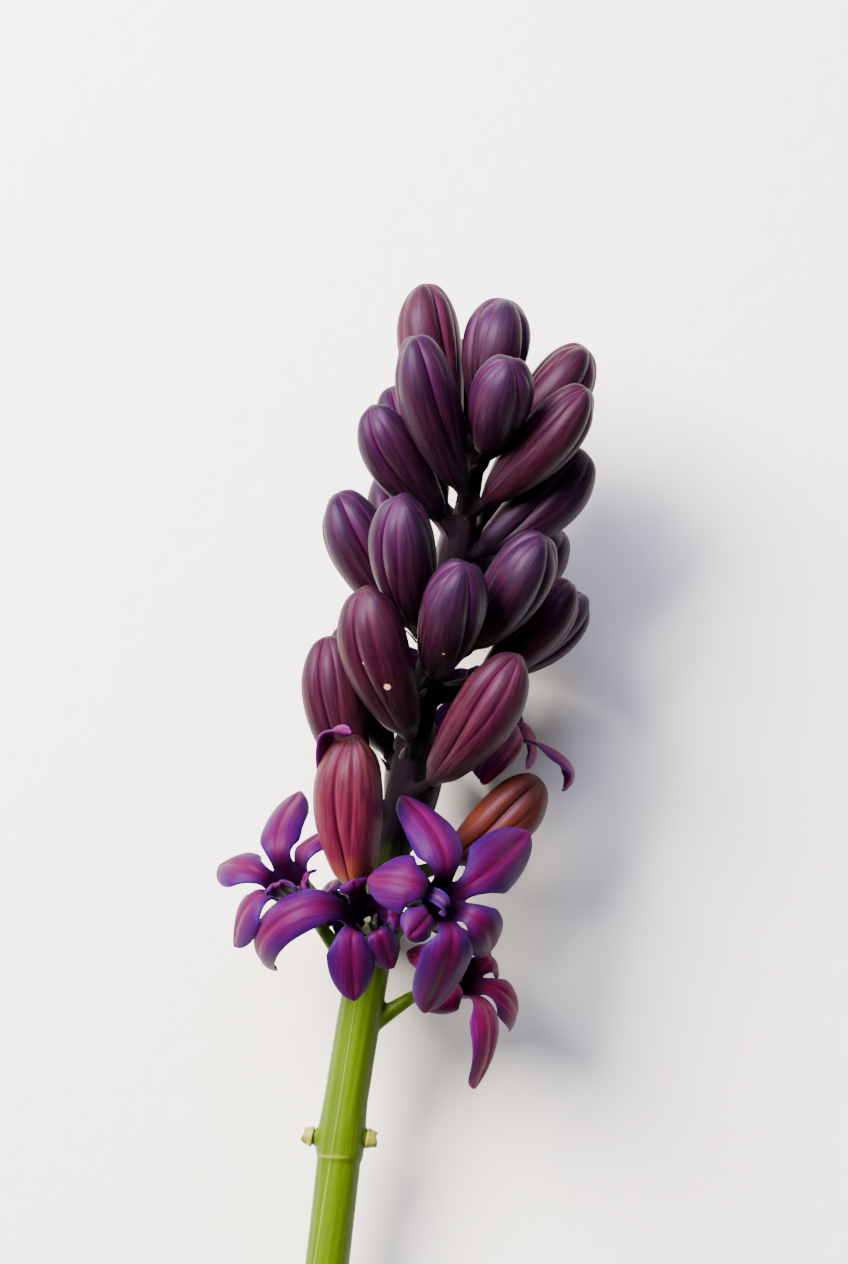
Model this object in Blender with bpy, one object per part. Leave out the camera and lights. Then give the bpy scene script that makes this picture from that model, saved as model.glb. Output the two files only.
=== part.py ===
"""A cut hyacinth raceme, lying on its back on a flat surface.

Units in the tables are millimetres and degrees. The plant frame has +Y along the stem towards the
tip, +X to the plant's right and +Z to its front; y = 0 is on the bare stem, 36 mm below the head.
Everything is parented to one empty, which lays the plant down on the plane z = 0.
"""

import math

import bmesh
import bpy
from mathutils import Matrix, Vector
from mathutils.geometry import interpolate_bezier

MM = 0.001

# Stem: the bare scape below, and the thinner rachis that carries the flowers.
STEM_SIDES = 16
STEM_STATIONS = (
    # y, drift to the right, radius
    (-55.0, 2.4, 3.1),
    (-36.0, 2.0, 3.2),
    (-18.0, 1.2, 3.2),
    (0.0, 0.0, 3.17),
    (15.4, -1.0, 3.15),
    (16.0, -1.0, 3.4),
    (19.5, -1.3, 3.4),
    (24.0, -1.5, 3.15),
    (34.0, -1.7, 3.15),
    (46.0, -1.7, 3.1),
    (60.0, -1.4, 2.7),
    (75.0, -1.0, 2.3),
    (90.0, -0.2, 2.05),
    (105.0, 0.6, 1.85),
    (114.0, 0.6, 1.6),
    (119.0, 0.5, 1.2),
)

# Scars of two flowers that broke off: height, azimuth from the front, reach from the axis.
STUB_RADIUS = 1.1
STUBS = ((17.9, -92.0, 5.0), (19.1, 88.0, 5.0))

# Pedicels leave the rachis below the flower they carry, by this share of their reach.
BUD_STALK_SLOPE = 0.5
FLORET_STALK_SLOPE = 0.95
STALK_TURN = 0.28
PEDICEL_SIDES = 7
PEDICEL_RADII = (1.6, 1.3, 1.0, 1.1)
SEAT_GAP = 0.3

# Buds: base point, tip point, greatest width. The body swells from a narrow foot to a shoulder.
BUD_SIDES = 10
BUD_RINGS = (0.0, 0.08, 0.25, 0.45, 0.64, 0.8, 0.92, 1.0)
BUD_FOOT = 0.4
BUD_SHOULDER = 0.62
BUD_CROWN_POWER = 2.5
BUD_TIP = 0.28
BUD_BOW = 0.045
BUDS = {
    "bud_01": ((-5.6, 54.6, 8.6), (-9.4, 75.2, 15.6), 9.2),
    "bud_02": ((7.0, 60.0, 2.0), (17.6, 73.6, 3.0), 8.0),
    "bud_03": ((-7.0, 67.5, 2.0), (-15.6, 88.2, 4.0), 8.6),
    "bud_04": ((2.7, 71.0, 5.5), (11.2, 90.2, 13.5), 8.6),
    "bud_05": ((-4.5, 73.5, -2.2), (-14.0, 90.0, -5.2), 7.6),
    "bud_06": ((-1.9, 76.8, 5.6), (-11.6, 95.6, 14.0), 9.2),
    "bud_07": ((8.9, 87.2, -4.5), (19.8, 100.2, -9.0), 7.4),
    "bud_08": ((7.4, 86.0, 0.8), (17.2, 101.6, 2.5), 7.4),
    "bud_09": ((0.1, 85.6, 5.5), (1.6, 101.2, 19.0), 9.0),
    "bud_10": ((4.6, 90.5, 4.0), (11.8, 107.0, 13.5), 8.4),
    "bud_11": ((-4.5, 92.1, -0.5), (-17.9, 108.2, 3.0), 8.6),
    "bud_12": ((-3.0, 91.5, 4.5), (-8.9, 108.8, 15.5), 9.4),
    "bud_13": ((4.5, 95.0, -3.0), (14.6, 109.0, -6.5), 8.0),
    "bud_14": ((4.0, 104.0, 0.0), (16.2, 120.0, 1.0), 8.4),
    "bud_15": ((-3.1, 107.5, 1.5), (-15.2, 120.8, 7.0), 8.4),
    "bud_16": ((3.3, 111.0, 4.0), (14.2, 128.2, 11.5), 8.2),
    "bud_17": ((-0.8, 112.0, 5.5), (-10.8, 131.0, 14.0), 8.6),
    "bud_18": ((-3.0, 109.5, -3.5), (-13.2, 124.8, -6.0), 8.0),
    "bud_19": ((2.0, 117.5, 5.2), (2.8, 129.8, 17.8), 8.6),
    "bud_20": ((4.1, 119.0, 0.0), (13.4, 134.6, 1.5), 8.2),
    "bud_21": ((-3.6, 120.0, 0.0), (-11.0, 139.8, -1.5), 8.6),
    "bud_22": ((0.7, 122.8, 0.8), (0.8, 139.4, 2.5), 8.8),
    "bud_23": ((-1.0, 116.5, -4.0), (-4.2, 133.5, -9.0), 7.6),
    "bud_24": ((0.5, 60.0, -4.5), (0.0, 78.5, -11.5), 8.0),
    "bud_25": ((1.0, 92.0, -4.5), (2.0, 110.5, -12.5), 8.4),
    "bud_26": ((-4.0, 97.0, -3.5), (-11.5, 113.0, -9.5), 8.0),
    "bud_27": ((3.5, 107.5, -3.5), (9.5, 123.5, -9.5), 8.0),
}

# Open florets: base point, axis direction, roll, and six lobes. They are counted anticlockwise from
# the side that faces the plant's tip, each as its tip's place beyond the mouth (outwards, sideways
# and forwards), the turn of its tip away from the axis, and its width.
TUBE_LENGTH = 9.0
TUBE_PROFILE = (
    # share of the tube's length, radius
    (0.0, 1.1),
    (0.12, 2.1),
    (0.38, 2.75),
    (0.7, 2.45),
    (1.0, 3.3),
)
TEPAL_THICKNESS = 0.6
LOBE_ROWS = 5
LOBE_COLUMNS = 2
LOBE_START_ANGLE = 25.0
LOBE_WIDEST = 0.45
LOBE_CHANNEL = 0.5
FLORETS = {
    "left_floret": {
        "base": (-10.4, 48.7, 3.1),
        "axis": (-0.5, 0.53, 0.68),
        "roll": -20.0,
        "lobes": (
            (15, 3, -6, 130, 4.6),
            (16, -4, -1, 120, 5.8),
            (12, -2, 0, 130, 6.8),
            (11, -2, -4, 150, 7.0),
            (4, 0, 4, 140, 4.6),
            (4, 0, 1, 120, 4.4),
        ),
    },
    "front_floret": {
        "base": (-1.8, 46.8, 4.6),
        "axis": (-0.14, 0.48, 0.87),
        "roll": -20.0,
        "lobes": (
            (7, 1, 1, 120, 4.6),
            (4, 0, 4, 70, 4.4),
            (13, 4, -10, 220, 6.2),
            (10, 4, -5, 150, 7.0),
            (7, 0, -4, 150, 5.2),
            (5, 0, 0, 120, 4.4),
        ),
    },
    "centre_floret": {
        "base": (3.75, 52.3, 8.5),
        "axis": (0.35, 0.3, 0.89),
        "roll": 10.0,
        "lobes": (
            (16, 2, -6, 150, 6.6),
            (10, 1, -4, 160, 8.2),
            (8, 1, 1, 100, 5.0),
            (14, -1, -8, 150, 7.4),
            (10, -2, -5, 180, 6.4),
            (17, 1, 0, 100, 8.2),
        ),
    },
    "low_right_floret": {
        "base": (6.4, 40.7, 1.2),
        "axis": (0.62, 0.45, 0.64),
        "roll": 0.0,
        "lobes": (
            (9, 0, -4, 160, 6.4),
            (8, 0, -4, 160, 6.2),
            (8, 0, -3, 160, 6.0),
            (15, 2, -4, 150, 6.6),
            (12, 0, -3, 160, 6.2),
            (9, 0, -4, 160, 6.4),
        ),
    },
    "right_floret": {
        "base": (4.3, 75.3, -3.0),
        "axis": (0.81, 0.57, 0.12),
        "roll": 0.0,
        "lobes": (
            (5, 0, 3, 80, 5.2),
            (6, 0, 1, 110, 5.4),
            (10, 2, -6, 150, 6.2),
            (12, 1, 3, 175, 6.2),
            (10, -2, -1, 150, 6.4),
            (7, 0, 0, 130, 5.6),
        ),
    },
    "back_right_floret": {
        "base": (4.6, 78.0, -8.2),
        "axis": (0.48, 0.45, -0.75),
        "roll": 0.0,
        "lobes": (
            (7, 0, -2, 150, 6.0),
            (5, 0, 2, 90, 5.2),
            (8, 0, -3, 150, 6.2),
            (10, 0, -4, 160, 6.4),
            (10, 0, -4, 160, 6.6),
            (8, 0, -3, 160, 6.4),
        ),
    },
    "back_left_floret": {
        "base": (-4.4, 80.0, -8.2),
        "axis": (-0.48, 0.45, -0.75),
        "roll": 0.0,
        "lobes": (
            (7, 0, -2, 150, 6.0),
            (8, 0, -3, 160, 6.4),
            (10, 0, -4, 160, 6.6),
            (10, 0, -4, 160, 6.4),
            (8, 0, -3, 150, 6.2),
            (5, 0, 2, 90, 5.2),
        ),
    },
    "low_back_floret": {
        "base": (-2.6, 44.5, -5.2),
        "axis": (-0.2, 0.8, -0.56),
        "roll": 0.0,
        "lobes": (
            (7, 0, -2, 150, 6.0),
            (8, 0, -3, 160, 6.2),
            (7, 0, -4, 160, 6.0),
            (7, 0, -4, 160, 6.0),
            (7, 0, -4, 160, 6.0),
            (8, 0, -3, 160, 6.0),
        ),
    },
}

# Pistil: a three-lobed ovary, a short style and a small stigma, standing in the tube.
PISTIL_SIDES = 9
PISTIL_LOBING = 0.14
PISTIL_STATIONS = (
    # height above the floret's base, radius
    (0.95, 0.8),
    (1.6, 1.3),
    (3.2, 1.55),
    (4.6, 1.1),
    (5.4, 0.45),
    (7.0, 0.4),
    (7.5, 0.6),
    (7.9, 0.35),
)

# How the plant lies: the head's florets and the cut end of the stem touch the surface.
LIE_PITCH = 7.66
LIE_ROLL = -1.2

UP = Vector((0.0, 1.0, 0.0))


def clear_scene():
    for obj in list(bpy.data.objects):
        bpy.data.objects.remove(obj)


def material(name, colour, roughness):
    made = bpy.data.materials.new(name)
    made.use_nodes = True
    shader = made.node_tree.nodes["Principled BSDF"]
    shader.inputs["Base Color"].default_value = (*colour, 1.0)
    shader.inputs["Roughness"].default_value = roughness
    shader.inputs["Metallic"].default_value = 0.0
    return made


def axis_point(y):
    """A point on the stem's centre line, which sways a little to each side."""
    for low, high in zip(STEM_STATIONS, STEM_STATIONS[1:]):
        if y <= high[0]:
            break
    share = min((y - low[0]) / (high[0] - low[0]), 1.0)
    return Vector((low[1] + (high[1] - low[1]) * share, y, 0.0))


def frame_at(base, direction, roll=0.0):
    """Local z runs along the direction, and local x is the side that faces the plant's tip."""
    z = Vector(direction).normalized()
    x = (UP - z * z.dot(UP)).normalized()
    frame = Matrix((x, z.cross(x), z)).transposed().to_4x4()
    frame.translation = Vector(base)
    return frame @ Matrix.Rotation(math.radians(roll), 4, "Z")


def scaled_to_metres(frame):
    placed = frame.copy()
    placed.translation = frame.translation * MM
    return placed


def loft_mesh(name, centres, radii, sides, lobing=0.0, lobes=3):
    """A closed body of round rings, square to the line through their centres."""
    bm = bmesh.new()
    rings = []
    across = None
    for i, (centre, radius) in enumerate(zip(centres, radii)):
        ahead = centres[min(i + 1, len(centres) - 1)] - centres[max(i - 1, 0)]
        ahead.normalize()
        if across is None:
            across = ahead.orthogonal().normalized()
            if abs(ahead.z) > 0.9:
                across = Vector((1.0, 0.0, 0.0))
        across = (across - ahead * across.dot(ahead)).normalized()
        beside = ahead.cross(across)
        ring = []
        for k in range(sides):
            turn = 2 * math.pi * k / sides
            r = radius * (1 + lobing * math.cos(lobes * turn))
            offset = across * (r * math.cos(turn)) + beside * (r * math.sin(turn))
            ring.append(bm.verts.new((centre + offset) * MM))
        rings.append(ring)
    bm.faces.new(reversed(rings[0]))
    bm.faces.new(rings[-1])
    for low, high in zip(rings, rings[1:]):
        for k in range(sides):
            n = (k + 1) % sides
            bm.faces.new((low[k], low[n], high[n], high[k]))
    mesh = bpy.data.meshes.new(name)
    bm.to_mesh(mesh)
    bm.free()
    mesh.shade_smooth()
    return mesh


def add_object(name, mesh, plant, look, frame=None):
    obj = bpy.data.objects.new(name, mesh)
    bpy.context.scene.collection.objects.link(obj)
    mesh.materials.append(look)
    obj.parent = plant
    if frame is not None:
        obj.matrix_local = scaled_to_metres(frame)
    return obj


def bud_radius(t, width):
    """The outline of a bud: a narrow foot, a long swelling and a blunt crown."""
    rise = BUD_FOOT + (1 - BUD_FOOT) * math.sin(0.5 * math.pi * min(t / BUD_SHOULDER, 1.0))
    beyond = max(0.0, (t - BUD_SHOULDER) / (1 - BUD_SHOULDER))
    crown = max(BUD_TIP, (1 - beyond**BUD_CROWN_POWER) ** 0.5) if beyond < 1 else BUD_TIP
    foot = min(1.0, 0.62 + 0.38 * t / BUD_RINGS[1])
    return 0.5 * width * rise * crown * foot


def add_bud(name, base, tip, width, plant, look):
    base, tip = Vector(base), Vector(tip)
    length = (tip - base).length
    centres = [
        Vector((-BUD_BOW * length * 4 * t * (1 - t), 0.0, length * t)) for t in BUD_RINGS
    ]
    radii = [bud_radius(t, width) for t in BUD_RINGS]
    mesh = loft_mesh(name, centres, radii, BUD_SIDES)
    add_object(name, mesh, plant, look, frame_at(base, tip - base))


def lobe_half_width(t, width, room):
    """A lobe widens from its share of the mouth to its middle, and then rounds off to a point."""
    start = TUBE_PROFILE[-1][1] * math.sin(math.pi / 6)
    widest = 0.5 * width
    if t < LOBE_WIDEST:
        s = t / LOBE_WIDEST
        return min(start + (widest - start) * s * (2 - s), room)
    s = (t - LOBE_WIDEST) / (1 - LOBE_WIDEST)
    return widest * max(0.18, (1 - s**2.4) ** 0.5 if s < 1 else 0.0)


def lobe_rows(around, tip_out, tip_side, tip_rise, turn, width):
    """Rows of points along one lobe, which bends outwards and back from the mouth."""
    out = Vector((math.cos(around), math.sin(around), 0.0))
    side = Vector((-math.sin(around), math.cos(around), 0.0))
    ahead = Vector((0.0, 0.0, 1.0))
    start_turn = math.radians(LOBE_START_ANGLE)
    end_turn = math.radians(turn)
    start = out * (TUBE_PROFILE[-1][1] * math.cos(math.pi / 6)) + ahead * TUBE_LENGTH
    end = ahead * (TUBE_LENGTH + tip_rise) + out * tip_out + side * tip_side
    across = (out * tip_out + side * tip_side).normalized()
    handle = (end - start).length / (3 * math.cos((end_turn - start_turn) / 4) ** 2)
    leave = ahead * math.cos(start_turn) + out * math.sin(start_turn)
    arrive = ahead * math.cos(end_turn) + across * math.sin(end_turn)
    line = interpolate_bezier(start, start + leave * handle, end - arrive * handle, end, LOBE_ROWS + 1)
    rows = []
    lateral = side
    for j in range(1, LOBE_ROWS + 1):
        point = line[j]
        forward = (line[min(j + 1, LOBE_ROWS)] - line[j - 1]).normalized()
        lateral = (lateral - forward * lateral.dot(forward)).normalized()
        inner = lateral.cross(forward)
        room = (0.7 + 0.1 * j) * math.tan(math.pi / 6) * point.xy.length
        half = lobe_half_width(j / LOBE_ROWS, width, room)
        row = []
        for k in range(LOBE_COLUMNS + 1):
            u = 2 * k / LOBE_COLUMNS - 1
            cup = LOBE_CHANNEL * (u * u - 0.5) * 2 * half / width
            row.append(point + lateral * (u * half) - inner * cup)
        rows.append(row)
    return rows


def perianth_mesh(name, lobes):
    """One sheet: a tube closed at its foot, split at its mouth into six lobes."""
    bm = bmesh.new()
    columns = 6 * LOBE_COLUMNS
    rings = []
    for share, radius in TUBE_PROFILE:
        ring = []
        for k in range(columns):
            turn = 2 * math.pi * (k / columns - 1 / 12)
            ring.append(
                bm.verts.new(
                    Vector((radius * math.cos(turn), radius * math.sin(turn), TUBE_LENGTH * share)) * MM
                )
            )
        rings.append(ring)
    bm.faces.new(reversed(rings[0]))
    for low, high in zip(rings, rings[1:]):
        for k in range(columns):
            n = (k + 1) % columns
            bm.faces.new((low[k], low[n], high[n], high[k]))
    for i, lobe in enumerate(lobes):
        start = i * LOBE_COLUMNS
        last = [rings[-1][(start + k) % columns] for k in range(LOBE_COLUMNS + 1)]
        for points in lobe_rows(2 * math.pi * i / 6, *lobe):
            row = [bm.verts.new(p * MM) for p in points]
            for k in range(LOBE_COLUMNS):
                bm.faces.new((last[k], last[k + 1], row[k + 1], row[k]))
            last = row
    mesh = bpy.data.meshes.new(name)
    bm.to_mesh(mesh)
    bm.free()
    mesh.shade_smooth()
    return mesh


def add_floret(name, floret, plant, petal_look, pistil_look):
    frame = frame_at(floret["base"], floret["axis"], floret["roll"])
    mesh = perianth_mesh(name + "_perianth", floret["lobes"])
    perianth = add_object(name + "_perianth", mesh, plant, petal_look, frame)
    wall = perianth.modifiers.new("wall", "SOLIDIFY")
    wall.thickness = TEPAL_THICKNESS * MM
    wall.offset = -1.0
    centres = [Vector((0.0, 0.0, z)) for z, _ in PISTIL_STATIONS]
    radii = [r for _, r in PISTIL_STATIONS]
    pistil = loft_mesh(name + "_pistil", centres, radii, PISTIL_SIDES, PISTIL_LOBING)
    add_object(name + "_pistil", pistil, plant, pistil_look, frame)


def add_pedicel(name, base, direction, slope, plant, look, helpers):
    """A tapered stalk from inside the rachis to just under a flower's foot."""
    direction = Vector(direction).normalized()
    end = Vector(base) - direction * SEAT_GAP
    reach = (end.xz - axis_point(end.y).xz).length
    root = axis_point(min(end.y - slope * reach, STEM_STATIONS[-1][0] - 1.0))
    bend = end - direction * (STALK_TURN * (end - root).length)
    centres = [root, root.lerp(bend, 0.7), bend.lerp(end, 0.4), end]
    mesh = loft_mesh(name, centres, PEDICEL_RADII, PEDICEL_SIDES)
    stalk = add_object(name, mesh, plant, look)
    hide_helper(stalk, helpers)


def add_stub(name, height, azimuth, reach, plant, look, helpers):
    turn = math.radians(azimuth)
    out = Vector((math.sin(turn), 0.0, math.cos(turn)))
    root = axis_point(height)
    centres = [root, root + out * (reach - 0.4), root + out * reach]
    radii = [1.5 * STUB_RADIUS, STUB_RADIUS, 0.7 * STUB_RADIUS]
    stub = add_object(name, loft_mesh(name, centres, radii, PEDICEL_SIDES), plant, look)
    hide_helper(stub, helpers)


def hide_helper(obj, helpers):
    obj.hide_render = True
    obj.display_type = "WIRE"
    bpy.context.scene.collection.objects.unlink(obj)
    helpers.objects.link(obj)


def add_stem(plant, look):
    centres = [Vector((drift, y, 0.0)) for y, drift, _ in STEM_STATIONS]
    radii = [radius for _, _, radius in STEM_STATIONS]
    mesh = loft_mesh("flower_stem", centres, radii, STEM_SIDES)
    stem = add_object("flower_stem", mesh, plant, look)
    helpers = bpy.data.collections.new("stalks")
    bpy.context.scene.collection.children.link(helpers)
    for name, (base, tip, _) in BUDS.items():
        direction = Vector(tip) - Vector(base)
        bow = frame_at(base, direction) @ Vector((-4 * BUD_BOW, 0.0, 1.0)) - Vector(base)
        add_pedicel(name + "_stalk", base, bow, BUD_STALK_SLOPE, plant, look, helpers)
    for name, floret in FLORETS.items():
        base, axis = floret["base"], floret["axis"]
        add_pedicel(name + "_stalk", base, axis, FLORET_STALK_SLOPE, plant, look, helpers)
    for i, (height, azimuth, reach) in enumerate(STUBS):
        add_stub(f"stub_{i}", height, azimuth, reach, plant, look, helpers)
    joined = stem.modifiers.new("stalks", "BOOLEAN")
    joined.operation = "UNION"
    joined.solver = "EXACT"
    joined.operand_type = "COLLECTION"
    joined.collection = helpers


def lay_down(plant):
    """Turns the plant onto its back and sets the origin under the middle of its box."""
    pitch = Matrix.Rotation(math.radians(LIE_PITCH), 4, "X")
    roll = Matrix.Rotation(math.radians(LIE_ROLL), 4, "Y")
    plant.matrix_world = pitch @ roll
    bpy.context.view_layer.update()
    graph = bpy.context.evaluated_depsgraph_get()
    points = []
    for obj in bpy.context.scene.objects:
        if obj.type == "MESH" and not obj.hide_render:
            shown = obj.evaluated_get(graph)
            mesh = shown.to_mesh()
            points += [shown.matrix_world @ v.co for v in mesh.vertices]
            shown.to_mesh_clear()
    low = Vector(min(p[i] for p in points) for i in range(3))
    high = Vector(max(p[i] for p in points) for i in range(3))
    middle = (low + high) / 2
    plant.location = (-middle.x, -middle.y, -low.z)


def build():
    clear_scene()
    stem_look = material("green_stem", (0.33, 0.42, 0.02), 0.45)
    bud_look = material("plum_bud", (0.055, 0.008, 0.035), 0.45)
    petal_look = material("violet_petal", (0.16, 0.02, 0.2), 0.5)
    pistil_look = material("pale_pistil", (0.5, 0.52, 0.2), 0.5)
    plant = bpy.data.objects.new("plant", None)
    bpy.context.scene.collection.objects.link(plant)
    add_stem(plant, stem_look)
    for name, (base, tip, width) in BUDS.items():
        add_bud(name, base, tip, width, plant, bud_look)
    for name, floret in FLORETS.items():
        add_floret(name, floret, plant, petal_look, pistil_look)
    lay_down(plant)


build()
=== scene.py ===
import math
import random

import bpy
import numpy as np
from mathutils import Matrix, Vector
from mathutils.geometry import interpolate_bezier


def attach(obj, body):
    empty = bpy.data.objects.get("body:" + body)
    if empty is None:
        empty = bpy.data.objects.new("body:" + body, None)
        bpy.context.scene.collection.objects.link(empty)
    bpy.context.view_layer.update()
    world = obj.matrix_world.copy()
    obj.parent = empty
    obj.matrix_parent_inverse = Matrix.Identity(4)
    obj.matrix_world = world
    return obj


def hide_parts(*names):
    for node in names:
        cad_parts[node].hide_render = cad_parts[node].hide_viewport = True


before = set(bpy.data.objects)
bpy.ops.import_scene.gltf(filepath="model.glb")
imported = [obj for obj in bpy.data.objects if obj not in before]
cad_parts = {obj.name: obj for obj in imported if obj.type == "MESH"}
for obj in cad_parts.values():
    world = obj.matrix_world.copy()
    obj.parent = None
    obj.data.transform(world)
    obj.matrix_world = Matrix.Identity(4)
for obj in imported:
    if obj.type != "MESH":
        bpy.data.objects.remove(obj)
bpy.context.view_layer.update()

mm = 0.001
random.seed(14)

plant = {
    "pitch": 7.66,  # degrees, the head is raised by the florets it lies on
    "roll": -1.2,
    "cutEnd": (2.4, -55.0, 0.0),  # mm in the plant's own frame: +Y to the tip, +Z to the front
    "ringScar": 16.0,
}

# stem centre line in the plant's frame: height, sway to the right, radius, all mm
stemLine = [
    (-55.0, 2.4, 3.1), (-36.0, 2.0, 3.2), (-18.0, 1.2, 3.2), (0.0, 0.0, 3.17), (15.4, -1.0, 3.15),
    (24.0, -1.5, 3.15), (34.0, -1.7, 3.15), (46.0, -1.7, 3.1), (60.0, -1.4, 2.7), (75.0, -1.0, 2.3),
    (90.0, -0.2, 2.05), (105.0, 0.6, 1.85), (114.0, 0.6, 1.6), (119.0, 0.5, 1.2),
]


def nodePoints(node):
    co = np.array([v.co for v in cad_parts[node].data.vertices], float).reshape(-1, 3)
    return np.unique(co.round(6), axis=0)


lieTurn = Matrix.Rotation(math.radians(plant["pitch"]), 3, "X")
lieTurn = lieTurn @ Matrix.Rotation(math.radians(plant["roll"]), 3, "Y")
alongStem = lieTurn @ Vector((0.0, 1.0, 0.0))
stemPoints = nodePoints("flower_stem")
heights = stemPoints @ np.array(alongStem)
cutCentre = Vector(stemPoints[heights < heights.min() + 0.1 * mm].mean(axis=0))
plantPlace = cutCentre - lieTurn @ (Vector(plant["cutEnd"]) * mm)


# mm in the plant's frame to metres on the floor
def fromPlant(point):
    return plantPlace + lieTurn @ (Vector(point) * mm)


def toPlant(point):
    return lieTurn.transposed() @ (Vector(point) - plantPlace) / mm


def stemAxis(y):
    ys = [row[0] for row in stemLine]
    return Vector((float(np.interp(y, ys, [row[1] for row in stemLine])), y, 0.0))


# local z along the direction, local x on the side that faces the plant's tip
def frameAt(base, direction, roll=0.0):
    z = Vector(direction).normalized()
    x = (alongStem - z * z.dot(alongStem)).normalized()
    made = Matrix((x, z.cross(x), z)).transposed().to_4x4()
    made.translation = Vector(base)
    return made @ Matrix.Rotation(math.radians(roll), 4, "Z")


print("frame read, stem cut at", [round(c, 4) for c in cutCentre])


def deselectAll():
    if bpy.context.object and bpy.context.object.mode != "OBJECT":
        bpy.ops.object.mode_set(mode="OBJECT")
    bpy.ops.object.select_all(action="DESELECT")


def pick(*objects):
    deselectAll()
    for obj in objects:
        obj.select_set(True)
    bpy.context.view_layer.objects.active = objects[0]


def applyAll(obj):
    pick(obj)
    for modifier in list(obj.modifiers):
        bpy.ops.object.modifier_apply(modifier=modifier.name)


def addSoft(obj, levels=1):
    soft = obj.modifiers.new("soft", "SUBSURF")
    soft.levels = levels
    soft.render_levels = levels


# thickness in mm
def addWall(obj, thickness, offset=0.0):
    wall = obj.modifiers.new("wall", "SOLIDIFY")
    wall.thickness = thickness * mm
    wall.offset = offset
    return wall


def smoothSkin(obj, angle=60.0):
    pick(obj)
    bpy.ops.object.shade_smooth_by_angle(angle=math.radians(angle))


def mergeAndTurnOut(obj, distance=0.002):
    pick(obj)
    bpy.ops.object.mode_set(mode="EDIT")
    bpy.ops.mesh.select_all(action="SELECT")
    bpy.ops.mesh.remove_doubles(threshold=distance * mm)
    bpy.ops.mesh.normals_make_consistent(inside=False)
    bpy.ops.object.mode_set(mode="OBJECT")


def readPoints(obj):
    co = np.empty(len(obj.data.vertices) * 3)
    obj.data.vertices.foreach_get("co", co)
    return co.reshape(-1, 3)


def writePoints(obj, points):
    obj.data.vertices.foreach_set("co", np.asarray(points, float).ravel())
    obj.data.update()


def writeVectors(obj, name, values):
    layer = obj.data.attributes.get(name) or obj.data.attributes.new(name, "FLOAT_VECTOR", "POINT")
    layer.data.foreach_set("vector", np.asarray(values, float).ravel())


def ownCopy(master, name):
    made = bpy.data.objects.new(name, master.data.copy())
    bpy.context.scene.collection.objects.link(made)
    return made


def fade(low, high, value):
    share = np.clip((np.asarray(value, float) - low) / (high - low), 0.0, 1.0)
    return share * share * (3.0 - 2.0 * share)


# sRGB hex to the linear colour that a shader wants
def linear(code):
    parts = [int(code[i:i + 2], 16) / 255 for i in (1, 3, 5)]
    return tuple(c / 12.92 if c <= 0.04045 else ((c + 0.055) / 1.055) ** 2.4 for c in parts) + (1.0,)


def addNode(tree, kind, inputs=None, stops=None, **settings):
    node = tree.nodes.new(kind)
    for key, value in settings.items():
        setattr(node, key, value)
    for key, value in (inputs or {}).items():
        if isinstance(value, bpy.types.NodeSocket):
            tree.links.new(value, node.inputs[key])
        else:
            node.inputs[key].default_value = value
    for i, (place, code) in enumerate(stops or []):
        ramp = node.color_ramp
        stop = ramp.elements[i] if i < 2 else ramp.elements.new(place)
        stop.position = place
        stop.color = linear(code)
    return node


def attribute(tree, name):
    return addNode(tree, "ShaderNodeAttribute", attribute_name=name).outputs["Vector"]


def objectPlace(tree):
    return addNode(tree, "ShaderNodeTexCoord").outputs["Object"]


def split(tree, vector):
    return addNode(tree, "ShaderNodeSeparateXYZ", {0: vector}).outputs


def stretched(tree, vector, by):
    return addNode(tree, "ShaderNodeVectorMath", {0: vector, 1: by}, operation="MULTIPLY").outputs[0]


def maths(tree, kind, *values):
    return addNode(tree, "ShaderNodeMath", dict(enumerate(values)), operation=kind).outputs[0]


def noise(tree, vector, scale, detail, roughness=0.5):
    values = {"Vector": vector, "Scale": scale, "Detail": detail, "Roughness": roughness}
    return addNode(tree, "ShaderNodeTexNoise", values).outputs["Fac"]


# a value from low to high becomes one from bottom to top, and stays between them
def mapped(tree, value, low, high, bottom=0.0, top=1.0):
    values = {"Value": value, "From Min": low, "From Max": high, "To Min": bottom, "To Max": top}
    return addNode(tree, "ShaderNodeMapRange", values).outputs[0]


def mixed(tree, share, under, over):
    return addNode(tree, "ShaderNodeMix", {0: share, 6: under, 7: over}, data_type="RGBA").outputs[2]


def toned(tree, share, *stops):
    return addNode(tree, "ShaderNodeValToRGB", {"Fac": share}, stops=stops).outputs["Color"]


# depth in mm
def addRelief(tree, shader, height, strength, depth):
    values = {"Height": height, "Strength": strength, "Distance": depth * mm}
    tree.links.new(addNode(tree, "ShaderNodeBump", values).outputs["Normal"], shader.inputs["Normal"])


def newMaterial(name, roughness, ior, **constants):
    look = bpy.data.materials.new(name)
    look.use_nodes = True
    shader = look.node_tree.nodes["Principled BSDF"]
    shader.inputs["Roughness"].default_value = roughness
    shader.inputs["IOR"].default_value = ior
    for key, value in constants.items():
        shader.inputs[key.replace("_", " ")].default_value = value
    return look, look.node_tree, shader


# closed tepals: thick waxy skin over dark sap. Each set runs from the foot to the crown; its crease colour is
# painted shade in the seams, and its streak colour is partly painted sheen.
budColours = {
    "plum": {
        "foot": "#07010F", "belly": "#190213", "crown": "#170722", "streakAndSheen": "#3C1C28", "edge": "#54044C",
        "crease": "#030006", "bellyAt": 0.5},
    "wine": {
        "foot": "#0A010E", "belly": "#220213", "crown": "#1E0716", "streakAndSheen": "#482026", "edge": "#56043C",
        "crease": "#060105", "bellyAt": 0.5},
    "rose": {
        "foot": "#7A3A12", "belly": "#56022E", "crown": "#240912", "streakAndSheen": "#663234", "edge": "#640632",
        "crease": "#1C030C", "bellyAt": 0.28},
    "amber": {
        "foot": "#1E0610", "belly": "#40160A", "crown": "#30120E", "streakAndSheen": "#562812", "edge": "#220412",
        "crease": "#120306", "bellyAt": 0.4},
}

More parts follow.
